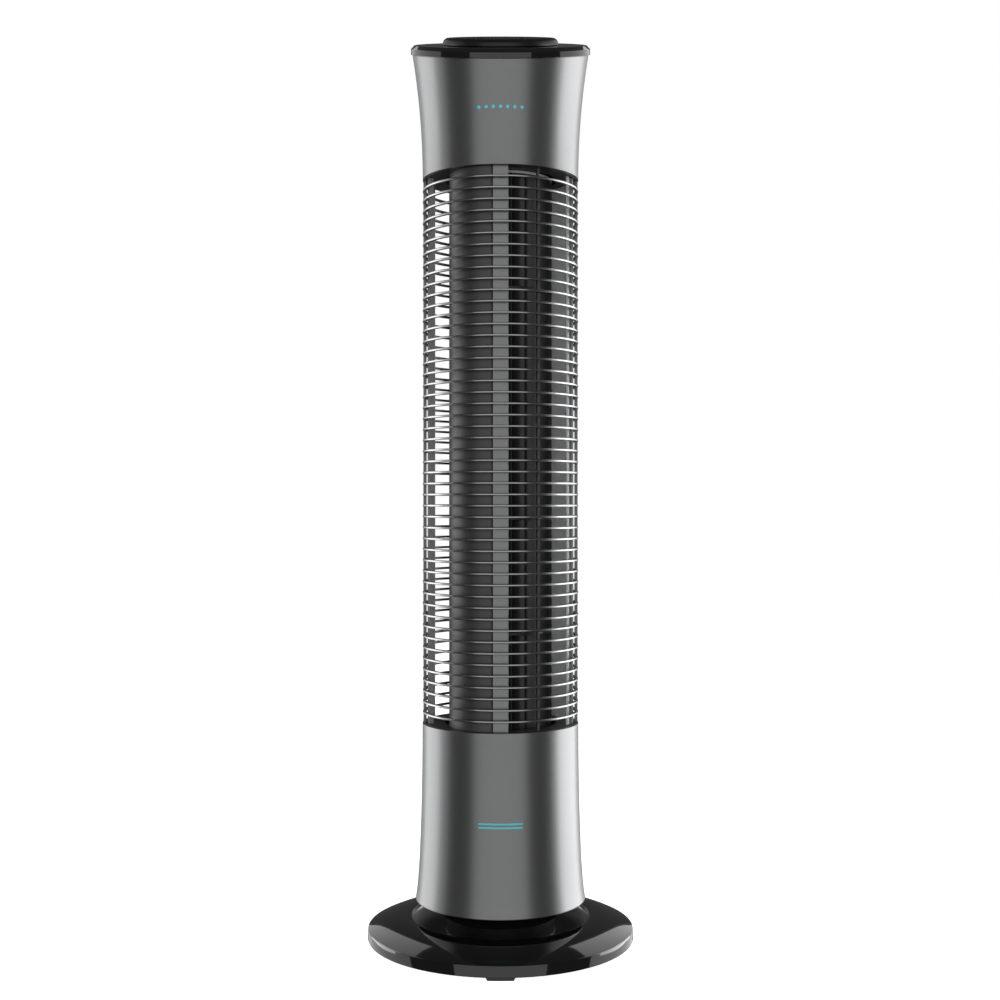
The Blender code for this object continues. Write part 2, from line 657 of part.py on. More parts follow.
# ---- Motors and boards ----
def build_motor():
    top = GRILLE_Z - LOWER_WELL - SHELL - FIT
    bottom = top - MOTOR_H
    middle = (top + bottom) / 2
    bore = SHAFT_R + RUN
    inside = MOTOR_R - MOTOR_WALL
    turned("motor_upper_shell",
           [(MOTOR_FLANGE_R, top), (MOTOR_FLANGE_R, top - MOTOR_WALL), (MOTOR_R, top - MOTOR_WALL),
            (MOTOR_R, middle + FIT / 2), (inside, middle + FIT / 2), (inside, top - 2 * MOTOR_WALL),
            (bore, top - 2 * MOTOR_WALL), (bore, top)], STEEL, MEDIUM_ROUND)
    turned("motor_lower_shell",
           [(MOTOR_R, middle - FIT / 2), (MOTOR_R, bottom), (bore, bottom),
            (bore, bottom + MOTOR_WALL), (inside, bottom + MOTOR_WALL), (inside, middle - FIT / 2)],
           STEEL, MEDIUM_ROUND)
    low, high = middle - STATOR_H / 2, middle + STATOR_H / 2
    turned("motor_stator", [(inside - FIT, low), (inside - FIT, high),
                            (STATOR_IN_R, high), (STATOR_IN_R, low)], COPPER, MEDIUM_ROUND)
    rotor_r = STATOR_IN_R - RUN
    low, high = low + ROTOR_STEP, high - ROTOR_STEP
    turned("motor_rotor", [(rotor_r, low), (rotor_r, high), (SHAFT_R + FIT, high),
                           (SHAFT_R + FIT, low)], STEEL, MEDIUM_ROUND)
    tail, tip = bottom - SHAFT_TAIL, WHEEL_Z + SHAFT_REACH
    turned("motor_shaft", [(0, tail), (SHAFT_R, tail), (SHAFT_R, tip), (0, tip)],
           STEEL, MEDIUM_ROUND)

    base = FLOOR_Z + FLOOR_T + FIT
    swing = turned("oscillation_motor",
                   [(0, base), (SWING_MOTOR_R, base), (SWING_MOTOR_R, base + SWING_MOTOR_H),
                    (0, base + SWING_MOTOR_H)], STEEL, MEDIUM_ROUND)
    swing.location = (0, GEAR_DISTANCE * MM, 0)
    prism("main_board", rectangle(0, BOARD_Y, BOARD_W, BOARD_T), base, base + BOARD_H,
          BOARD_GREEN)
    capacitor_y = BOARD_Y - BOARD_T / 2 - FIT - CAPACITOR_D / 2
    prism("capacitor", rectangle(CAPACITOR_X, capacitor_y, CAPACITOR_W, CAPACITOR_D),
          base, base + CAPACITOR_H, WHITE_PLASTIC)


# ---- Top ----
def build_top():
    edge_r = TOP_R + CAP_OVERHANG
    skirt_r = TOP_R - SHELL - CAP_OVERHANG
    profile = [(edge_r, FIT), (edge_r, CAP_WALL), (CAP_BEVEL_R, CAP_H), (CAP_HOLE_R, CAP_H),
               (CAP_HOLE_R, CAP_H - CAP_DECK), (skirt_r - SHELL, CAP_H - CAP_DECK),
               (skirt_r - SHELL, -SKIRT_H), (skirt_r, -SKIRT_H), (skirt_r, FIT)]

    def section_at(angle):
        return [(radius, plane_z(radius * math.sin(angle)) + height) for radius, height in profile]

    lofted("top_cap", section_at, BLACK_GLOSS)

    panel = bpy.data.objects.new("panel", None)
    bpy.context.collection.objects.link(panel)
    panel.location.z = (PLANE_Z + CAP_H) * MM
    panel.rotation_euler.x = TILT
    bottom, top = FIT, DISC_H
    fillet = [(DISC_R - DISC_FILLET * (1 - math.cos(math.radians(30 * k))),
               top - DISC_FILLET * (1 - math.sin(math.radians(30 * k)))) for k in range(4)]
    disc = turned("control_disc",
                  [(DISC_R, bottom)] + fillet + [(0, top), (0, top - DISC_DECK),
                  (DISC_R - DISC_FILLET, top - DISC_DECK), (DISC_R - DISC_WALL, bottom)],
                  BLACK_GLOSS, parent=panel)
    centres = [polar(BUTTON_RING_R, angle) for angle in BUTTON_ANGLES]
    combine(disc, rods("button_holes", centres, BUTTON_R + FIT, 0, 2 * DISC_H, panel), 'DIFFERENCE')
    window = prism("window_hole", rectangle(0, WINDOW_Y, WINDOW_W + 2 * FIT, WINDOW_D + 2 * FIT),
                   0, 2 * DISC_H, GUIDE_LOOK, panel)
    combine(disc, guide(window), 'DIFFERENCE')
    prism("display_lens", rectangle(0, WINDOW_Y, WINDOW_W, WINDOW_D),
          top - DISC_DECK, top, SMOKED, panel)
    board_r = DISC_R - DISC_FILLET - FIT
    board_top = bottom + PANEL_BOARD_T
    turned("control_board", [(0, bottom), (board_r, bottom), (board_r, board_top), (0, board_top)],
           BOARD_GREEN, MEDIUM_ROUND, panel)
    flange_low = board_top + FIT + BUTTON_TRAVEL
    flange_top = top - DISC_DECK - FIT
    for number, (x, y) in enumerate(centres, start=1):
        button = turned(f"button_{number}",
                        [(0, flange_low), (BUTTON_R + BUTTON_FLANGE, flange_low),
                         (BUTTON_R + BUTTON_FLANGE, flange_top), (BUTTON_R, flange_top),
                         (BUTTON_R, top + BUTTON_PROUD), (0, top + BUTTON_PROUD)],
                        GREY_PLASTIC, SMALL_ROUND, panel)
        button.location = (x * MM, y * MM, 0)


for old in list(bpy.data.objects):
    bpy.data.objects.remove(old)

BLACK_GLOSS = material("black_gloss", (0.006, 0.006, 0.007), 0.12)
SILVER = material("silver_paint", (0.55, 0.56, 0.57), 0.33, 0.9)
CHROME = material("bright_ring", (0.62, 0.63, 0.64), 0.25, 1.0)
DARK_PLASTIC = material("dark_plastic", (0.03, 0.03, 0.033), 0.45)
GREY_PLASTIC = material("grey_plastic", (0.22, 0.22, 0.23), 0.4)
LIGHT_PLASTIC = material("light_plastic", (0.42, 0.43, 0.45), 0.4)
WHITE_PLASTIC = material("white_plastic", (0.75, 0.75, 0.73), 0.45)
WHEEL_BLACK = material("wheel_black", (0.012, 0.012, 0.013), 0.35)
WHEEL_GREY = material("wheel_grey", (0.3, 0.3, 0.31), 0.4)
RUBBER = material("rubber", (0.01, 0.01, 0.01), 0.7)
STEEL = material("steel", (0.5, 0.5, 0.5), 0.35, 1.0)
COPPER = material("copper", (0.55, 0.25, 0.12), 0.4, 1.0)
BRONZE = material("bronze", (0.45, 0.32, 0.16), 0.4, 1.0)
BOARD_GREEN = material("board_green", (0.02, 0.12, 0.05), 0.5)
SMOKED = material("smoked_lens", (0.01, 0.01, 0.012), 0.08)
GUIDE_LOOK = material("guide", (1.0, 0.2, 0.0), 0.5)

build_base()
build_swivel()
build_lower_collar()
grille_half("front_grille", -90, FRONT_COLUMNS)
grille_half("rear_grille", 90, REAR_COLUMNS)
build_upper_collar()
build_duct()
build_wheel()
build_motor()
build_top()
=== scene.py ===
import math

import bmesh
import bpy
import numpy as np
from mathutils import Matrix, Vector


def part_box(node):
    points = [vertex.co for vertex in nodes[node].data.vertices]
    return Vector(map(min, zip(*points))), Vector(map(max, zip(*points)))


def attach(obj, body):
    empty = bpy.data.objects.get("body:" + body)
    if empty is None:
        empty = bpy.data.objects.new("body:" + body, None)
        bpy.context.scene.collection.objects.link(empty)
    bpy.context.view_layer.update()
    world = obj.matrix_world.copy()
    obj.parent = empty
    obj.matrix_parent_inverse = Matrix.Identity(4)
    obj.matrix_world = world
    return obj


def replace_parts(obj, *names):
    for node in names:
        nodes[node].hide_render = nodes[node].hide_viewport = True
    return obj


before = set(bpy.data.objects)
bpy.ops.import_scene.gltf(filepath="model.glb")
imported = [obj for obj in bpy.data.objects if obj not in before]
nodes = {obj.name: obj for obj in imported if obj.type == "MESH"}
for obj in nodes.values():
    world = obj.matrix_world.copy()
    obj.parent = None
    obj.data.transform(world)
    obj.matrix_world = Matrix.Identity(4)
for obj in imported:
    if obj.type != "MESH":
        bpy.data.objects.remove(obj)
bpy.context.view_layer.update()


# ==== Base dish ====
# The round foot of the fan: one moulding in deep black, polished in the tool. Its rim stands
# upright, the top climbs in a shallow dome to a thin lip, and inside the lip a satin bowl
# drops to the neck that carries the tower.
MM = 0.001


class Value:
    """One output of a shader node. Each operator adds a Math node and gives its output."""

    def __init__(self, look, socket):
        self.look = look
        self.socket = socket

    def math(self, operation, *inputs):
        return self.look.node("ShaderNodeMath", {"operation": operation}, dict(enumerate(inputs)))

    def __add__(self, other):
        return self.math("ADD", self, other)

    def __radd__(self, other):
        return self.math("ADD", other, self)

    def __sub__(self, other):
        return self.math("SUBTRACT", self, other)

    def __rsub__(self, other):
        return self.math("SUBTRACT", other, self)

    def __mul__(self, other):
        return self.math("MULTIPLY", self, other)

    def __rmul__(self, other):
        return self.math("MULTIPLY", other, self)

    def __truediv__(self, other):
        return self.math("DIVIDE", self, other)

    def __lt__(self, other):
        return self.math("LESS_THAN", self, other)

    def __gt__(self, other):
        return self.math("GREATER_THAN", self, other)

    def __abs__(self):
        return self.math("ABSOLUTE", self)

    def length_with(self, other):
        """Distance from the origin of the point that has these two coordinates."""
        return self.math("SQRT", self * self + other * other)

    def ramp(self, low, high):
        """0 below low, 1 above high, with an eased step between them."""
        return self.look.node("ShaderNodeMapRange", {"interpolation_type": "SMOOTHSTEP"},
                              {"Value": self, "From Min": low, "From Max": high})


class Look:
    """A Principled material whose fixed numbers sit on the shader's own sockets."""

    def __init__(self, name, colour, roughness, metallic=0.0, **fixed):
        self.made = bpy.data.materials.new(name)
        self.made.use_nodes = True
        self.tree = self.made.node_tree
        self.shader = self.tree.nodes["Principled BSDF"]
        self.feed("Base Color", (*colour, 1.0))
        self.feed("Roughness", roughness)
        self.feed("Metallic", metallic)
        for socket, number in fixed.items():
            self.feed(socket.replace("_", " "), number)

    def node(self, kind, settings, inputs, output=0):
        """A node of this kind: its settings first, then the values or links of its sockets."""
        made = self.tree.nodes.new(kind)
        for key, value in settings.items():
            setattr(made, key, value)
        for key, value in inputs.items():
            if isinstance(value, Value):
                self.tree.links.new(value.socket, made.inputs[key])
            else:
                made.inputs[key].default_value = value
        return Value(self, made.outputs[output])

    def feed(self, socket, value):
        if isinstance(value, Value):
            self.tree.links.new(value.socket, self.shader.inputs[socket])
        else:
            self.shader.inputs[socket].default_value = value

    def place(self):
        """The point on the piece, in metres in the object's own frame."""
        return self.node("ShaderNodeTexCoord", {}, {}, "Object")

    def axes(self):
        split = self.tree.nodes.new("ShaderNodeSeparateXYZ")
        self.tree.links.new(self.place().socket, split.inputs[0])
        return [Value(self, split.outputs[k]) for k in range(3)]

    def noise(self, size, detail=2.0, stretch=(1.0, 1.0, 1.0)):
        """Smooth noise between 0 and 1 whose blotches are about this many metres across."""
        scaled = self.node("ShaderNodeVectorMath", {"operation": "MULTIPLY"},
                           {0: self.place(), 1: [s / size for s in stretch]})
        return self.node("ShaderNodeTexNoise", {},
                         {"Vector": scaled, "Scale": 1.0, "Detail": detail})

    def bump(self, height, depth):
        """Tilts the normals as if the surface rose by depth metres where height is 1."""
        normal = self.node("ShaderNodeBump", {},
                           {"Height": height, "Distance": depth, "Strength": 1.0})
        self.feed("Normal", normal)

    def blend(self, share, first, second):
        """A colour that goes from first to second as share goes from 0 to 1."""
        return self.node("ShaderNodeMix", {"data_type": "RGBA"},
                         {0: share, 6: (*first, 1.0), 7: (*second, 1.0)}, 2)


SATIN_EDGE = 0.001
SATIN_ROUGHNESS = 0.4
POLISHED_ROUGHNESS = 0.06


def gloss_black(name, satin_within=0.0):
    """Polished black moulding: a hard mirror with faint haze where hands have wiped it. Within
    this radius, in metres, the tool left it satin."""
    look = Look(name, (0.0025, 0.0025, 0.003), 0.1, Coat_Roughness=0.03)
    x, y, _ = look.axes()
    polished = x.length_with(y).ramp(satin_within - SATIN_EDGE, satin_within)
    haze = look.noise(0.05, 3.0)
    look.feed("Roughness", SATIN_ROUGHNESS - (SATIN_ROUGHNESS - POLISHED_ROUGHNESS) * polished
              + 0.05 * haze)
    look.feed("Coat Weight", polished)
    look.bump(look.noise(0.004, 1.0), 0.000004)
    return look.made


def rounded(corners):
    """A path through corners (x, y, radius), where each corner with a radius becomes an arc
    that touches both of its straight sides."""
    path = []
    for k, (x, y, radius) in enumerate(corners):
        here = np.array([x, y])
        if radius == 0:
            path.append(here)
            continue
        to_last = np.array(corners[k - 1][:2]) - here
        to_next = np.array(corners[(k + 1) % len(corners)][:2]) - here
        to_last = to_last / np.linalg.norm(to_last)
        to_next = to_next / np.linalg.norm(to_next)
        half = math.acos(np.clip(to_last @ to_next, -1, 1)) / 2
        bisector = (to_last + to_next) / np.linalg.norm(to_last + to_next)
        centre = here + bisector * radius / math.sin(half)
        start = here + to_last * radius / math.tan(half) - centre
        end = here + to_next * radius / math.tan(half) - centre
        turn = math.pi - 2 * half
        steps = max(3, round(math.degrees(turn) / 12))
        for share in np.linspace(0, 1, steps + 1):
            along = start * math.sin((1 - share) * turn) + end * math.sin(share * turn)
            path.append(centre + along / math.sin(turn))
    return np.array(path)


def quads(index):
    """The four corners of each cell in a grid of point numbers."""
    corners = [index[:-1, :-1], index[:-1, 1:], index[1:, 1:], index[1:, :-1]]
    return np.stack(corners, axis=-1).reshape(-1, 4).tolist()


def surface(name, points, close_across, body, material):
    """A mesh through a grid of points. The first index runs across and may close on itself;
    the second runs along and always closes. Equal points merge, which closes the poles."""
    across, along = points.shape[:2]
    index = np.arange(across * along).reshape(across, along)
    index = np.concatenate([index, index[:1]]) if close_across else index
    index = np.concatenate([index, index[:, :1]], axis=1)
    return solid(name, points.reshape(-1, 3), quads(index), body, material)


def solid(name, points, faces, body, material, sharp=40):
    """A piece from points in metres: doubles merged, faces outward, smooth up to an angle."""
    mesh = bpy.data.meshes.new(name)
    mesh.from_pydata(points.tolist(), [], faces)
    work = bmesh.new()
    work.from_mesh(mesh)
    bmesh.ops.remove_doubles(work, verts=work.verts, dist=1e-7)
    bmesh.ops.recalc_face_normals(work, faces=work.faces)
    work.to_mesh(mesh)
    work.free()
    mesh.shade_smooth()
    mesh.set_sharp_from_angle(angle=math.radians(sharp))
    mesh.materials.append(material)
    piece = bpy.data.objects.new(name, mesh)
    bpy.context.scene.collection.objects.link(piece)
    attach(piece, body)
    return piece


def lathe(name, path, body, material, sides=192, place=None):
    """A path of (radius, height), in millimetres, carried round the upright axis. place can
    bend the finished grid of points."""
    angle = np.linspace(0, 2 * math.pi, sides, endpoint=False)
    radius, height = np.asarray(path, float).T[:, :, None] * MM
    points = np.stack([radius * np.cos(angle), radius * np.sin(angle),
                       np.broadcast_to(height, (len(path), sides))], axis=-1)
    if place:
        points = place(points)
    return surface(name, points, True, body, material)


base_low, base_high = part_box("base_cover")
BASE_R = base_high.x / MM
RIM_BOTTOM = base_low.z / MM
RIM_TOP = RIM_BOTTOM + 9.6
RIM_BEVEL = 1.2
DOME_RISE = 9.1
DOME_SLOPE = 0.05
LIP_R = 74.2
LIP_IN_R = LIP_R - 1.4
LIP_Z = RIM_TOP + DOME_RISE
SATIN_R = 0.0725
BOWL_Z = LIP_Z - 13.6
BOWL_FLOOR_R = 50.0
NECK_R = 44.2
NECK_TOP = BOWL_Z + 16.9
POST_R = 16.0
POST_TOP = base_high.z / MM
WIRE_R = 8.0
WALL = 2.5


def bowl_curve(radius, height, steps=20):
    """A quarter of an ellipse, from the lip's inner edge down to the bowl's floor."""
    turn = np.linspace(0, math.pi / 2, steps)
    return np.stack([BOWL_FLOOR_R + (radius - BOWL_FLOOR_R) * np.cos(turn),
                     height - (LIP_Z - BOWL_Z) * np.sin(turn)], axis=-1)


def dome(radius):
    """Height of the dish's top: almost level beside the lip and steepest at the rim."""
    width = BASE_R - RIM_BEVEL - LIP_R
    share = (radius - LIP_R) / width
    straight = DOME_SLOPE * width
    return LIP_Z - straight * share - (DOME_RISE - straight) * share ** 2


dome_r = np.linspace(BASE_R - 3.0, LIP_R + 1.0, 28)
rim = rounded([(BASE_R - WALL, RIM_BOTTOM, 0), (BASE_R, RIM_BOTTOM, 0.5),
               (BASE_R, dome(BASE_R), 1.3), (dome_r[0], dome(dome_r[0]), 0)])
lip = rounded([(dome_r[-1], dome(dome_r[-1]), 0), (LIP_R, LIP_Z, 0.4),
               (LIP_R - 1.3, LIP_Z - 0.3, 0.25), (LIP_IN_R, LIP_Z - 1.0, 0)])
neck = rounded([(NECK_R + 3, BOWL_Z, 0), (NECK_R, BOWL_Z, 1.2), (NECK_R, NECK_TOP, 0.6),
                (POST_R, NECK_TOP, 0), (POST_R, POST_TOP, 0.4), (WIRE_R, POST_TOP, 0.3),
                (WIRE_R, NECK_TOP - WALL, 0), (NECK_R - WALL, NECK_TOP - WALL, 0),
                (NECK_R - WALL, BOWL_Z - WALL, 0)])
underside = bowl_curve(LIP_R + WALL, LIP_Z - WALL, 12)[:0:-1]
dome_path = np.stack([dome_r[1:-1], dome(dome_r[1:-1])], axis=-1)
bowl = bowl_curve(LIP_IN_R, LIP_Z)[2:]
dish_path = np.concatenate([rim, dome_path, lip, bowl, neck, underside,
                            [(BASE_R - WALL, RIM_TOP - WALL)]])
DISH_BLACK = gloss_black("dish_black", SATIN_R)
dish = lathe("base_dish", dish_path, "base", DISH_BLACK, 256)
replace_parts(dish, "base_cover")


# ==== Base plate, screws and feet ====
# A sheet-steel plate closes the dish from below and gives the fan its weight. Four pan-head
# screws hold it, and four rubber pads are bonded to it near the rim.
def textured(name, colour, roughness, grain, depth, variation=0.12, metallic=0.0, slip=0.08):
    """A moulded, painted or rubber finish: fine grain in the surface, slow change in shade.
    grain and depth are the grain's size and height, in metres."""
    look = Look(name, colour, roughness, metallic)
    fine = look.noise(grain, 2.0)
    slow = look.noise(0.06, 2.0)
    look.feed("Base Color", look.blend(slow, [c * (1 - variation) for c in colour],
                                       [min(c * (1 + variation), 1) for c in colour]))
    look.feed("Roughness", (roughness - slip / 2) + slip * fine)
    look.bump(fine, depth)
    return look.made


def dress(material, *names):
    """Gives the solid nodes of these names a finish."""
    for name in names:
        nodes[name].data.materials.clear()
        nodes[name].data.materials.append(material)


PLATE_PAINT = textured("plate_paint", (0.012, 0.012, 0.013), 0.42, 0.0012, 0.00003)
RUBBER = textured("rubber", (0.025, 0.025, 0.025), 0.72, 0.0009, 0.00004, slip=0.15)
ZINC_STEEL = textured("zinc_steel", (0.46, 0.47, 0.48), 0.34, 0.0015, 0.000006, metallic=1.0)
dress(PLATE_PAINT, "base_plate")
dress(ZINC_STEEL, "base_screw_1", "base_screw_2", "base_screw_3", "base_screw_4")
dress(RUBBER, "foot_front", "foot_right", "foot_rear", "foot_left")


# ==== Swivel ring and its running gear ====
# The tower turns on a slippery washer that lies on the neck. A black skirt hides the joint,
# and a pinion in the tower walks round the toothed sector that is fixed to the post.
ring_low, ring_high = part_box("swivel_ring")
FIT = 0.3
SKIRT_T = 2.0
ring_r = ring_high.x / MM
ring_bottom = ring_low.z / MM
ring_top = ring_high.z / MM
flange_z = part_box("thrust_washer")[1].z / MM + FIT
eye_r = POST_R + 0.8
ring_path = rounded([(ring_r, ring_top, 0), (ring_r - SKIRT_T, ring_top, 0),
                     (ring_r - SKIRT_T, flange_z + WALL, 0), (eye_r, flange_z + WALL, 0),
                     (eye_r, flange_z, 0), (ring_r - SKIRT_T, flange_z, 0),
                     (ring_r - SKIRT_T, ring_bottom, 0.3), (ring_r, ring_bottom, 1.6)])
GLOSS_BLACK = gloss_black("gloss_black")
swivel_ring = lathe("swivel_skirt", ring_path, "tower", GLOSS_BLACK)
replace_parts(swivel_ring, "swivel_ring")
ACETAL = textured("acetal", (0.72, 0.71, 0.68), 0.38, 0.002, 0.00001, 0.04)
dress(ACETAL, "thrust_washer", "sector_gear", "pinion", "capacitor")
DARK_MOULDING = textured("dark_moulding", (0.022, 0.022, 0.024), 0.36, 0.0007, 0.00002)
dress(DARK_MOULDING, "tower_floor")


# ==== Lower collar ====
# A thin-walled moulding in silver metallic lacquer that hides the motor. It widens slowly
# toward its lower edge, then flicks out in a small lip. Two short printed lines sit on its front.
INK = (0.01, 0.28, 0.31)


def silver_lacquer(name, mark):
    """Aluminium flake under clear lacquer; mark gives the printed area from x, y and z."""
    look = Look(name, (0.25, 0.25, 0.255), 0.3, 0.94)
    x, y, z = look.axes()
    flake = look.noise(0.0006, 1.0)
    cloud = look.noise(0.03, 2.0, (1.0, 1.0, 0.4))
    paint = look.blend(0.7 * flake + 0.3 * cloud, (0.22, 0.222, 0.225), (0.28, 0.283, 0.286))
    printed = mark(x, z) * (y < 0.0)
    shade = look.node("ShaderNodeMix", {"data_type": "RGBA"},
                      {0: printed, 6: paint, 7: (*INK, 1.0)}, 2)
    look.feed("Base Color", shade)
    look.feed("Metallic", 0.95 - 0.95 * printed)
    look.feed("Roughness", 0.26 + 0.07 * flake)
    look.bump(flake, 0.000003)
    return look.made


collar_low, collar_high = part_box("lower_collar")
COLLAR_BOTTOM = collar_low.z / MM
COLLAR_TOP = collar_high.z / MM
COLLAR_R = 64.2
FLARE = 4.2
FLARE_POWER = 2.2
LIP_FLARE = 1.35
LIP_POWER = 12
LOWER_MARK_Z = 0.1082
LINE_NEAR = 0.0009
LINE_FAR = 0.0021
LINE_HALF = 0.0175


def lower_mark(x, z):
    """Two short lines, one above the other."""
    away = abs(z - LOWER_MARK_Z)
    return (away > LINE_NEAR) * (away < LINE_FAR) * (abs(x) < LINE_HALF)


def lower_collar_r(height):
    """The plain radius plus a slow power curve and a steep one for the lip."""
    down = (COLLAR_TOP - height) / (COLLAR_TOP - COLLAR_BOTTOM)
    return COLLAR_R + FLARE * down ** FLARE_POWER + LIP_FLARE * down ** LIP_POWER


spread = np.linspace(0, 1, 48) ** 1.6
heights = COLLAR_BOTTOM + 0.8 + (COLLAR_TOP - COLLAR_BOTTOM - 1.2) * spread
radii = lower_collar_r(heights)
foot_r = radii[0]
collar_path = np.concatenate([
    [(foot_r - WALL, COLLAR_BOTTOM + 0.6), (foot_r - 1.6, COLLAR_BOTTOM),
     (foot_r - 0.7, COLLAR_BOTTOM), (foot_r - 0.15, COLLAR_BOTTOM + 0.3)],
    np.stack([radii, heights], axis=-1),
    [(COLLAR_R - 0.1, COLLAR_TOP - 0.1), (COLLAR_R - 0.4, COLLAR_TOP),
     (COLLAR_R - WALL, COLLAR_TOP)],
    np.stack([radii - WALL, heights], axis=-1)[::-3]])
SILVER_LOWER = silver_lacquer("silver_lower", lower_mark)
collar = lathe("lower_collar_shell", collar_path, "tower", SILVER_LOWER, 224)
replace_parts(collar, "lower_collar")


# ==== Cord inlet, motor and boards ====
# A rubber bush lines the hole for the mains lead at the back. Inside the collar stand the
# fan motor in its pressed shells, the small motor that swings the tower, and the mains board.
dress(RUBBER, "cord_gland")
dress(ZINC_STEEL, "motor_upper_shell", "motor_lower_shell", "motor_shaft", "motor_rotor",
      "oscillation_motor")
COPPER = textured("copper_winding", (0.5, 0.22, 0.1), 0.35, 0.0008, 0.00008, 0.25, 1.0)
BRONZE = textured("bronze", (0.42, 0.29, 0.13), 0.4, 0.0006, 0.00001, metallic=1.0)
BOARD = textured("board", (0.015, 0.11, 0.045), 0.4, 0.003, 0.00004, 0.4)
dress(COPPER, "motor_stator")
dress(BRONZE, "top_bush")
dress(BOARD, "main_board", "control_board")


# ==== Duct ends ====
# Two dark mouldings close the air duct. Each has a flange just inside the edge of its collar
# and a round well that takes the end of the wheel.
GRILLE_BOTTOM = COLLAR_TOP
GRILLE_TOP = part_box("upper_collar")[0].z / MM
FRAME_R = 60.0
WELL_R = 45.3
WELL_WALL = 2.2
FLANGE_H = 3.8
FLOOR_FLANGE_R = 61.4
CEILING_FLANGE_R = 61.2
SHAFT_HOLE_R = 5.6
BUSH_HOLE_R = 8.6


def duct_end(edge, end, inward, flange_r, hole_r):
    """The path of one moulding, from the grille's edge to the well's end; inward is the sign
    of the way from the well's end to the grille."""
    well_out = WELL_R + WELL_WALL
    inner = end + inward * WALL
    back = edge - inward * FLANGE_H
    return rounded([(flange_r, edge, 0.3), (WELL_R, edge, 0.6), (WELL_R, inner, 1),
                    (hole_r, inner, 0), (hole_r, end, 0), (well_out, end, 0.5),
                    (well_out, back, 0), (flange_r, back, 0)])


floor_path = duct_end(GRILLE_BOTTOM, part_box("duct_floor")[0].z / MM, 1, FLOOR_FLANGE_R,
                      SHAFT_HOLE_R)
ceiling_path = duct_end(GRILLE_TOP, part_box("duct_ceiling")[1].z / MM, -1, CEILING_FLANGE_R,
                        BUSH_HOLE_R)
for name, path, node in (("duct_floor_moulding", floor_path, "duct_floor"),
                         ("duct_ceiling_moulding", ceiling_path, "duct_ceiling")):
    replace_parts(lathe(name, path, "tower", DARK_MOULDING, 160), node)


# ==== Duct walls ====
# Upright extrusions between the two ends: a light scroll that wraps round the right and the
# back of the wheel, a dark curved stabiliser at the front left, a flat silver strip in the
# middle of the front, thin pillars at both sides and one stiffening rib.
duct_low, duct_high = (corner.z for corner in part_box("scroll_wall"))
GREY_MOULDING = textured("grey_moulding", (0.09, 0.09, 0.094), 0.34, 0.0007, 0.00002)
DUCT_WALL = 2.0
SCROLL_START = -20
SCROLL_END = 135
SCROLL_R = 56.2
SCROLL_END_R = 45.6
SCROLL_MIDDLE = SCROLL_R + DUCT_WALL / 2
SCROLL_CLOSING = (SCROLL_R - SCROLL_END_R) / math.radians(SCROLL_END)
NOSE_FRONT = -0.017
NOSE_BACK = -0.008


def light_moulding():
    """Pale satin plastic on the scroll's hollow side; its outside is grey, and its front nose is
    grey as painted shade that holds down the light it catches.
    """
    pale = (0.84, 0.85, 0.86)
    look = Look("light_moulding", pale, 0.3)
    x, y, _ = look.axes()
    turned = y.math("ARCTAN2", y, x)
    middle = SCROLL_MIDDLE * MM - SCROLL_CLOSING * MM * turned.math("MAXIMUM", turned, 0.0)
    # Painted shade: toward the front nose the hollow side fades from pale to grey.
    pale_side_past_shaded_nose = y.ramp(NOSE_FRONT, NOSE_BACK) * (x.length_with(y) < middle)
    slow = look.noise(0.05, 2.0)
    look.feed("Base Color", look.blend(pale_side_past_shaded_nose * (0.88 + 0.12 * slow), (0.22, 0.225, 0.23), pale))
    look.feed("Roughness", 0.26 + 0.08 * look.noise(0.0008, 2.0))
    look.bump(look.noise(0.0008, 2.0), 0.00002)
    return look.made


def prism_faces(count):
    """Sides and ends of a prism whose lower outline holds count points, then its upper one."""
    here = np.arange(count)
    beside = (here + 1) % count
    sides = np.stack([here, beside, beside + count, here + count], axis=-1).tolist()
    return sides + [here[::-1].tolist(), (here + count).tolist()]


def upright(name, plan, low, high, material):
    """A prism on an outline in plan, in metres, closed by a face at each end."""
    points = np.concatenate([np.column_stack([plan, np.full(len(plan), z)]) for z in (low, high)])
    return solid(name, points, prism_faces(len(plan)), "tower", material)


def upright_wall(name, curve, material, node):
    """A wall of even thickness along a curve in plan, with both ends rounded."""
    curve = np.asarray(curve) * MM
    half = DUCT_WALL * MM / 2
    along = np.gradient(curve, axis=0)
    along /= np.linalg.norm(along, axis=1, keepdims=True)
    side = np.stack([-along[:, 1], along[:, 0]], axis=-1) * half
    turn = np.linspace(0, math.pi, 7)[1:-1, None]
    first = curve[0] + side[0] * -np.cos(turn) - along[0] * np.sin(turn) * half
    last = curve[-1] + side[-1] * np.cos(turn) + along[-1] * np.sin(turn) * half
    plan = np.concatenate([curve + side, last, (curve - side)[::-1], first])
    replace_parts(upright(name, plan, duct_low, duct_high, material), node)


turn = np.radians(np.linspace(SCROLL_START, SCROLL_END, 90))
reach = SCROLL_MIDDLE - SCROLL_CLOSING * np.clip(turn, 0, None)
upright_wall("scroll", np.stack([reach * np.cos(turn), reach * np.sin(turn)], -1),
             light_moulding(), "scroll_wall")

strip_low, strip_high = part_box("centre_strip")
STRIP_HALF = strip_high.x / MM
strip_back = strip_high.y / MM
STABILISER_GREY = textured("stabiliser_grey", (0.018, 0.018, 0.0195), 0.4, 0.0007, 0.00002)
TIP_R = 48.7
TIP_ANGLE = math.radians(-146)
tip = TIP_R * np.array([math.cos(TIP_ANGLE), math.sin(TIP_ANGLE)])
root = np.array([-STRIP_HALF - FIT - DUCT_WALL / 2, strip_back])
bend = np.array([0.8 * tip[0], strip_back + 0.5])
share = np.linspace(0, 1, 40)[:, None]
curve = (1 - share) ** 2 * root + 2 * share * (1 - share) * bend + share ** 2 * tip
upright_wall("stabiliser_blade", curve, STABILISER_GREY, "stabiliser")


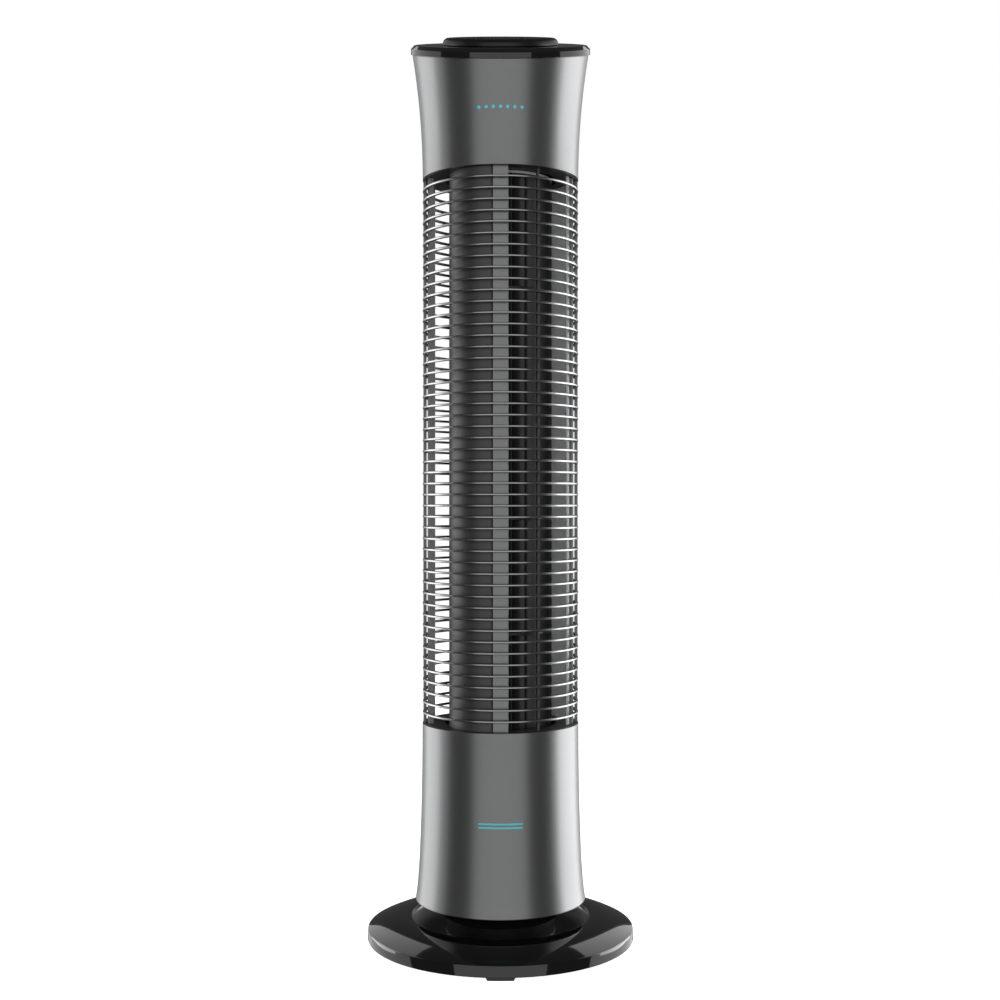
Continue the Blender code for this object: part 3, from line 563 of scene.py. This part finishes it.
def bevelled_box(name, low, high, material, node, turn=0.0):
    """A box with a rounded plan, for strips and ribs; turn swings it about the fan's axis."""
    edge = 0.5
    x0, y0, x1, y1 = (low[0] / MM, low[1] / MM, high[0] / MM, high[1] / MM)
    plan = rounded([(x0, y0, edge), (x1, y0, edge), (x1, y1, edge), (x0, y1, edge)]) * MM
    plan = plan @ np.array([[math.cos(turn), math.sin(turn)], [-math.sin(turn), math.cos(turn)]])
    piece = upright(name, plan, low[2], high[2], material)
    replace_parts(piece, node)


def plain_mark(x, z):
    """Nothing printed."""
    return x * 0.0


SILVER_PLAIN = silver_lacquer("silver_strip", plain_mark)
bevelled_box("front_strip", strip_low, strip_high, SILVER_PLAIN, "centre_strip")
RIB_HALF = 0.85 * MM
RIB_DEPTH = 3.0
RIB_TURN = math.radians(30)
bevelled_box("stiffening_rib", (-RIB_HALF, -FRAME_R * MM, duct_low),
             (RIB_HALF, (RIB_DEPTH - FRAME_R) * MM, duct_high), DARK_MOULDING,
             "grille_rib", RIB_TURN)


def band(inner, outer, first, last, count):
    """The outline in plan, in metres, of a band between two radii and two angles in degrees."""
    turn = np.radians(np.linspace(first, last, count))[:, None]
    ring = np.concatenate([np.cos(turn), np.sin(turn)], axis=1)
    return np.concatenate([outer * ring, inner * ring[::-1]]) * MM


PILLAR_HALF = 14
for side, middle, inner in (("left", 180, 56.0), ("right", 0, 58.5)):
    plan = band(inner, FRAME_R, middle - PILLAR_HALF, middle + PILLAR_HALF, 24)
    wall = upright(f"{side}_pillar_wall", plan, duct_low, duct_high, GREY_MOULDING)
    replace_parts(wall, f"{side}_pillar")


# ==== Cross-flow wheel ====
# Five rings of forward-curved blades stacked end to end, moulded in black glass-filled
# plastic and welded into one long drum that turns on a shaft at each end.
WHEEL_R = 42.4
BLADE_IN = 33.4
BLADES = 24
BLADE_SKEW = math.radians(12)
BLADE_SINK = 0.0001
RING_T = 2.0
STUB_R = 4
WHEEL_BLACK = textured("wheel_black", (0.012, 0.012, 0.013), 0.3, 0.0008, 0.00002)
WHEEL_GREY = textured("wheel_grey", (0.25, 0.25, 0.26), 0.34, 0.0008, 0.00002)


def blade_plan():
    """One blade from above, in metres: a plate that curves forward and thins toward its tip."""
    reach = np.linspace(0, 1, 9)
    radius = BLADE_IN + 0.3 + (WHEEL_R - 0.6 - BLADE_IN) * reach
    angle = BLADE_SKEW * (0.35 * reach + 0.65 * reach ** 2)
    half = 0.42 * (1 - 0.55 * reach ** 2) / radius
    ahead = np.stack([radius * np.cos(angle + half), radius * np.sin(angle + half)], -1)
    behind = np.stack([radius * np.cos(angle - half), radius * np.sin(angle - half)], -1)
    return np.concatenate([ahead, behind[::-1]]) * MM


plan = blade_plan()
count = len(plan)
turn = np.arange(BLADES) * 2 * math.pi / BLADES
spin = np.stack([np.stack([np.cos(turn), np.sin(turn)], -1),
                 np.stack([-np.sin(turn), np.cos(turn)], -1)], axis=1)
plans = np.einsum("pc,bcd->bpd", plan, spin)
blade_faces = [[index + 2 * count * blade for index in face]
               for blade in range(BLADES) for face in prism_faces(count)]
for number in range(1, 6):
    node = f"wheel_segment_{number}"
    low, high = (corner.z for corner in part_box(node))
    levels = np.array([low + RING_T * MM - BLADE_SINK, high])[None, :, None, None]
    points = np.concatenate([np.broadcast_to(plans[:, None], (BLADES, 2, count, 2)),
                             np.broadcast_to(levels, (BLADES, 2, count, 1))], -1)
    blades = solid(f"{node}_blades", points.reshape(-1, 3), blade_faces, "impeller", WHEEL_BLACK,
                   25)
    bottom = low / MM
    ring_path = rounded([(BLADE_IN, bottom, 0.3), (WHEEL_R, bottom, 0.4),
                         (WHEEL_R, bottom + RING_T, 0.4), (BLADE_IN, bottom + RING_T, 0.3)])
    ring = lathe(f"{node}_ring", ring_path, "impeller", WHEEL_BLACK, 144)
    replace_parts(blades, node)
    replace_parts(ring, node)
dress(WHEEL_BLACK, "wheel_hub")
bottom, top = (corner.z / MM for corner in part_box("wheel_top"))
cap_path = rounded([(0, bottom, 0), (WHEEL_R, bottom, 0.4), (WHEEL_R, bottom + RING_T, 0.4),
                    (STUB_R, bottom + RING_T, 0.5), (STUB_R, top, 0.5), (0, top, 0)])
cap = lathe("wheel_end", cap_path, "impeller", WHEEL_GREY, 144)
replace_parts(cap, "wheel_top")


# ==== Grille ====
# Forty-nine slim rings between the collars, in bright plating. A grey bar holds them where
# the two halves meet at each side.
GRILLE_R = 64.0
RING_GAPS = 50
PITCH = (GRILLE_TOP - GRILLE_BOTTOM) / RING_GAPS
RING_H = 1.8
RING_D = 3.0
BAR_TURN = 3.0
PAINTED_SHADE_WITHIN = 0.0616
BRIGHT_BEYOND = 0.0622


def bright_plating():
    """Bright plating on the rings' noses and flanks; their backs get painted shade, a near-black
    colour.
    """
    plating = (0.5, 0.505, 0.51)
    look = Look("bright_plating", plating, 0.22, 1.0)
    x, y, _ = look.axes()
    # Painted shade: inside this radius the rings' backs are coloured near black, darker than the
    # plating.
    unshaded = x.length_with(y).ramp(PAINTED_SHADE_WITHIN, BRIGHT_BEYOND)
    look.feed("Base Color", look.blend(unshaded, (0.03, 0.03, 0.032), plating))
    look.bump(look.noise(0.0015, 2.0), 0.000004)
    return look.made


BRIGHT = bright_plating()


def grille_rings(name, facing, node):
    """Every ring of one half: a rectangle with a well-rounded nose and a slightly rounded
    back, at each height, carried over almost 180 degrees."""
    turn = np.radians(np.linspace(facing - 89.8, facing + 89.8, 97))
    section = rounded([(GRILLE_R, -RING_H / 2, 0.75), (GRILLE_R, RING_H / 2, 0.75),
                       (GRILLE_R - RING_D, RING_H / 2, 0.3), (GRILLE_R - RING_D, -RING_H / 2, 0.3)])
    radius, height = section.T[:, :, None]
    count = len(section)
    points, faces = [], []
    for middle in GRILLE_BOTTOM + PITCH * np.arange(1, RING_GAPS):
        grid = np.stack([radius * np.cos(turn), radius * np.sin(turn),
                         np.broadcast_to(height + middle, (count, len(turn)))], -1)
        first = len(points) * count * len(turn)
        index = first + np.arange(count * len(turn)).reshape(count, len(turn))
        faces += quads(np.concatenate([index, index[:1]]))
        faces += [index[:, 0].tolist(), index[:, -1][::-1].tolist()]
        points.append(grid.reshape(-1, 3) * MM)
    rings = solid(name, np.concatenate(points), faces, "tower", BRIGHT, 50)
    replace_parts(rings, node)


def grille_bar(name, facing, side, node):
    """The upright that ends one half: a band just inside the rings' noses."""
    edge = facing + side * 89.85
    plan = band(GRILLE_R - RING_D + 0.1, GRILLE_R - 0.5, edge, edge - side * BAR_TURN, 5)
    bar = upright(name, plan, (GRILLE_BOTTOM + FIT) * MM, (GRILLE_TOP - FIT) * MM, GREY_MOULDING)
    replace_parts(bar, node)


for half, facing in (("front", -90), ("rear", 90)):
    grille_rings(f"{half}_rings", facing, f"{half}_grille")
    grille_bar(f"{half}_bar_left", facing, 1, f"{half}_grille")
    grille_bar(f"{half}_bar_right", facing, -1, f"{half}_grille")


# ==== Upper collar ====
# The same silver lacquer on a shell that opens toward the slanted top. Its front carries a
# row of printed dots.
TILT = math.radians(19)
TOP_R = 72.4
PLANE_Z = GRILLE_TOP + 104.3
UPPER_MARK_Z = 0.6692
DOT_R = 0.0013
DOT_PITCH = 0.0056
DOTS = 7


def slant(y):
    """Height of the top's plane above a place that lies y behind the axis, in metres."""
    return PLANE_Z * MM + math.tan(TILT) * y


def upper_mark(x, z):
    """Seven dots in a row."""
    step = (x / DOT_PITCH).math("ROUND", x / DOT_PITCH) * DOT_PITCH
    dot = (x - step).length_with(z - UPPER_MARK_Z) < DOT_R
    return dot * (abs(x) < DOTS / 2 * DOT_PITCH)


def upper_collar_grid(inward, shares, sides=224):
    """A grid over the shell, inward of its outer face. The radius grows with the square of
    the share of the height, which ends at the slant."""
    turn = np.linspace(0, 2 * math.pi, sides, endpoint=False)
    top = slant((TOP_R - inward) * MM * np.sin(turn))
    radius = (GRILLE_R - inward + (TOP_R - GRILLE_R) * shares[:, None] ** 2) * MM
    height = GRILLE_TOP * MM + (top - GRILLE_TOP * MM) * shares[:, None]
    return np.stack([radius * np.cos(turn), radius * np.sin(turn), height], -1)


shares = np.linspace(0, 1, 40)
upper_grid = np.concatenate([upper_collar_grid(0.0, shares),
                             upper_collar_grid(WALL, shares[::-3])])
upper = surface("upper_collar_shell", upper_grid, True, "tower",
                silver_lacquer("silver_upper", upper_mark))
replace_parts(upper, "upper_collar")


# ==== Top cap ====
# A black lid in the same polished plastic as the base. It overhangs the collar a little,
# follows the slant, and has a broad chamfer round its top edge.
def on_slant(points):
    """Raises a level grid of points by the slant's height at each place."""
    points[..., 2] += slant(points[..., 1])
    return points


EDGE_R = TOP_R + 1.3
CAP_WALL = 5.0
CAP_H = 8.0
CHAMFER_R = 70.9
CAP_HOLE_R = 38.0
CAP_T = 2.4
CAP_SKIRT = 4
skirt_r = TOP_R - WALL - 1.3
cap_path = rounded([(EDGE_R, FIT, 0.3), (EDGE_R, CAP_WALL, 0.8), (CHAMFER_R, CAP_H, 0.8),
                    (CAP_HOLE_R, CAP_H, 0.3), (CAP_HOLE_R, CAP_H - CAP_T, 0.3),
                    (skirt_r - WALL, CAP_H - CAP_T, 0.5), (skirt_r - WALL, -CAP_SKIRT, 0.3),
                    (skirt_r, -CAP_SKIRT, 0.3), (skirt_r, FIT, 0)])
top_cap = lathe("top_lid", cap_path, "tower", GLOSS_BLACK, 256, on_slant)
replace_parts(top_cap, "top_cap")


# ==== Control disc ====
# A round raised panel on the lid, pierced for four push buttons and for the window of the
# display. It is satin, with one short printed bar.
DISC_R = 47.5
DISC_H = 5.8
DISC_T = 1.8
FILLET = 4.5
BAR_HALF_X = 0.0045
BAR_HALF_Y = 0.0022
BAR_Y = -0.0052
WINDOW_HALF = 15.3
WINDOW_FRONT = 3.7
WINDOW_BACK = 16.3
CUT_LOW = 1
CUT_HIGH = 9
BUTTON_R = 5.0
BUTTON_RING = 28.0
BUTTON_ANGLES = (-150, -110, -70, -30)
panel_origin = np.array([0.0, 0.0, (PLANE_Z + CAP_H) * MM])


def on_panel(points):
    """From the panel's own plane, with its normal as the third axis, into place."""
    x, y, z = points[..., 0], points[..., 1], points[..., 2]
    turned = np.stack([x, y * math.cos(TILT) - z * math.sin(TILT),
                       y * math.sin(TILT) + z * math.cos(TILT)], -1)
    return turned + panel_origin


def panel_black():
    """Satin black with one short printed bar between the keys and the window."""
    black = (0.004, 0.004, 0.0045)
    look = Look("panel_black", black, 0.36)
    x, y, _ = look.axes()
    bar = (abs(x) < BAR_HALF_X) * (abs(y - BAR_Y) < BAR_HALF_Y)
    look.feed("Base Color", look.blend(bar, black, INK))
    look.bump(look.noise(0.0008, 2.0), 0.000008)
    return look.made


def at_key(angle):
    """What carries a grid from the axis to the key at this angle on the panel."""
    centre = np.array([BUTTON_RING * math.cos(math.radians(angle)),
                       BUTTON_RING * math.sin(math.radians(angle)), 0]) * MM
    return lambda points: on_panel(points + centre)


disc_path = rounded([(0, DISC_H, 0), (DISC_R, DISC_H, FILLET), (DISC_R, FIT, 0.3),
                     (DISC_R - 2.2, FIT, 0.2), (DISC_R - FILLET, DISC_H - DISC_T, 0),
                     (0, DISC_H - DISC_T, 0)])
disc = lathe("control_panel", disc_path, "tower", panel_black(), 224, on_panel)
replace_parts(disc, "control_disc")

cut_r = BUTTON_R + FIT
cut_path = [(0, CUT_LOW), (cut_r, CUT_LOW), (cut_r, CUT_HIGH), (0, CUT_HIGH)]
cutters = [lathe("cutter", cut_path, "tower", GLOSS_BLACK, 64, at_key(angle))
           for angle in BUTTON_ANGLES]
window = rounded([(-WINDOW_HALF, WINDOW_FRONT, 1.5), (WINDOW_HALF, WINDOW_FRONT, 1.5),
                  (WINDOW_HALF, WINDOW_BACK, 1.5), (-WINDOW_HALF, WINDOW_BACK, 1.5)]) * MM
window_grid = np.stack([on_panel(np.column_stack([window, np.full(len(window), z * MM)]))
                        for z in (CUT_LOW, CUT_HIGH)])
hole = surface("cutter", window_grid, False, "tower", GLOSS_BLACK)
work = bmesh.new()
work.from_mesh(hole.data)
bmesh.ops.holes_fill(work, edges=[edge for edge in work.edges if edge.is_boundary])
bmesh.ops.recalc_face_normals(work, faces=work.faces)
work.to_mesh(hole.data)
work.free()
cutters.append(hole)
for cutter in cutters:
    cut = disc.modifiers.new("pierce", "BOOLEAN")
    cut.object = cutter
    cut.solver = "EXACT"
evaluated = disc.evaluated_get(bpy.context.evaluated_depsgraph_get())
pierced = bpy.data.meshes.new_from_object(evaluated)
disc.modifiers.clear()
disc.data = pierced
for cutter in cutters:
    bpy.data.objects.remove(cutter)

SMOKED = Look("smoked_window", (0.006, 0.006, 0.008), 0.06, Coat_Weight=0.5, Coat_Roughness=0.03)
SMOKED.feed("Roughness", 0.05 + 0.05 * SMOKED.noise(0.02, 2.0))
dress(SMOKED.made, "display_lens")


# ==== Push buttons ====
# Four round keys in near-black with a shallow dish in the top of each. A spring lifts them,
# and a flange under the panel stops them from coming out.
DARK_KEY = textured("dark_key", (0.02, 0.02, 0.021), 0.3, 0.0008, 0.00001)
KEY_TOP = DISC_H + 0.4
KEY_DISH_R = 4.2
KEY_DISH = 0.3
KEY_FLANGE_R = BUTTON_R + 1.6
KEY_FLANGE_TOP = 3.7
KEY_BOTTOM = 2.6
dish_r = np.linspace(0, KEY_DISH_R, 8)
dish_z = KEY_TOP - KEY_DISH * (1 - (dish_r / KEY_DISH_R) ** 2)
side = rounded([(KEY_DISH_R, KEY_TOP, 0), (BUTTON_R, KEY_TOP, 0.5), (BUTTON_R, KEY_FLANGE_TOP, 0),
                (KEY_FLANGE_R, KEY_FLANGE_TOP, 0.2), (KEY_FLANGE_R, KEY_BOTTOM, 0.2),
                (0, KEY_BOTTOM, 0)])[1:]
key_path = np.concatenate([np.stack([dish_r, dish_z], axis=-1), side])
for number, angle in enumerate(BUTTON_ANGLES, start=1):
    key = lathe(f"key_{number}", key_path, f"button_{number}", DARK_KEY, 64,
                at_key(angle))
    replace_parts(key, f"button_{number}")


# ==== Studio ====
# A pale floor, soft panels round the fan and a plain white surround. The front fill only
# lights matt surfaces, deep in the grille.
FLOOR_R = 4
FLOOR_SIDES = 96
scene = bpy.context.scene
turn = np.linspace(0, 2 * math.pi, FLOOR_SIDES, endpoint=False)
floor_mesh = bpy.data.meshes.new("floor")
floor_mesh.from_pydata([(FLOOR_R * math.cos(a), FLOOR_R * math.sin(a), 0) for a in turn], [],
                       [list(range(FLOOR_SIDES))])
floor = bpy.data.objects.new("floor", floor_mesh)
scene.collection.objects.link(floor)
floor_look = Look("pale_floor", (0.9, 0.9, 0.9), 0.9)
floor_look.feed("Emission Color", (1, 1, 1, 1))
floor_look.feed("Emission Strength", 0.93)
floor_mesh.materials.append(floor_look.made)
floor.visible_glossy = False
floor.visible_diffuse = False


def soft_panel(name, azimuth, distance, width, height, middle, radiance):
    """An upright rectangle of light. azimuth turns it from the fan's front to its right;
    distance, width, height and middle height are in metres."""
    light = bpy.data.lights.new(name, "AREA")
    light.shape = "RECTANGLE"
    light.size = width
    light.size_y = height
    light.energy = radiance * math.pi * width * height
    lamp = bpy.data.objects.new(name, light)
    scene.collection.objects.link(lamp)
    angle = math.radians(azimuth)
    lamp.location = (distance * math.sin(angle), -distance * math.cos(angle), middle)
    lamp.rotation_euler = (math.pi / 2, 0, angle)
    lamp.visible_camera = False
    return lamp


soft_panel("front_panel", 0, 2.2, 3.5, 3.7, 0.35, 0.58)
soft_panel("left_panel", -120, 1.7, 2.85, 3.7, 0.35, 0.55)
soft_panel("left_strip", -117.5, 1.6, 1.2, 1.46, 0.32, 1.6)
soft_panel("right_panel", 120, 1.7, 2.85, 3.7, 0.35, 0.75)
soft_panel("right_strip", 115, 1.6, 1.5, 1.46, 0.32, 2.3)
soft_panel("front_fill", 0, 2.1, 3.5, 3.0, 0.5, 3.4).visible_glossy = False

world = bpy.data.worlds.new("surround")
scene.world = world
world.use_nodes = True
tree = world.node_tree
background = tree.nodes["Background"]
background.inputs["Color"].default_value = (0.06, 0.06, 0.06, 1)
white = tree.nodes.new("ShaderNodeBackground")
white.inputs["Color"].default_value = (1, 1, 1, 1)
path = tree.nodes.new("ShaderNodeLightPath")
mix = tree.nodes.new("ShaderNodeMixShader")
tree.links.new(path.outputs["Is Camera Ray"], mix.inputs[0])
tree.links.new(background.outputs[0], mix.inputs[1])
tree.links.new(white.outputs[0], mix.inputs[2])
tree.links.new(mix.outputs[0], tree.nodes["World Output"].inputs[0])
scene.view_settings.view_transform = "Standard"

camera_data = bpy.data.cameras.new("camera")
camera_data.lens = 52.63
camera_data.sensor_width = 36.0
camera = bpy.data.objects.new("camera", camera_data)
camera.location = (-0.0004, -1.2048, 0.3627)
camera.rotation_euler = (math.pi / 2, 0, 0)
scene.collection.objects.link(camera)
scene.camera = camera
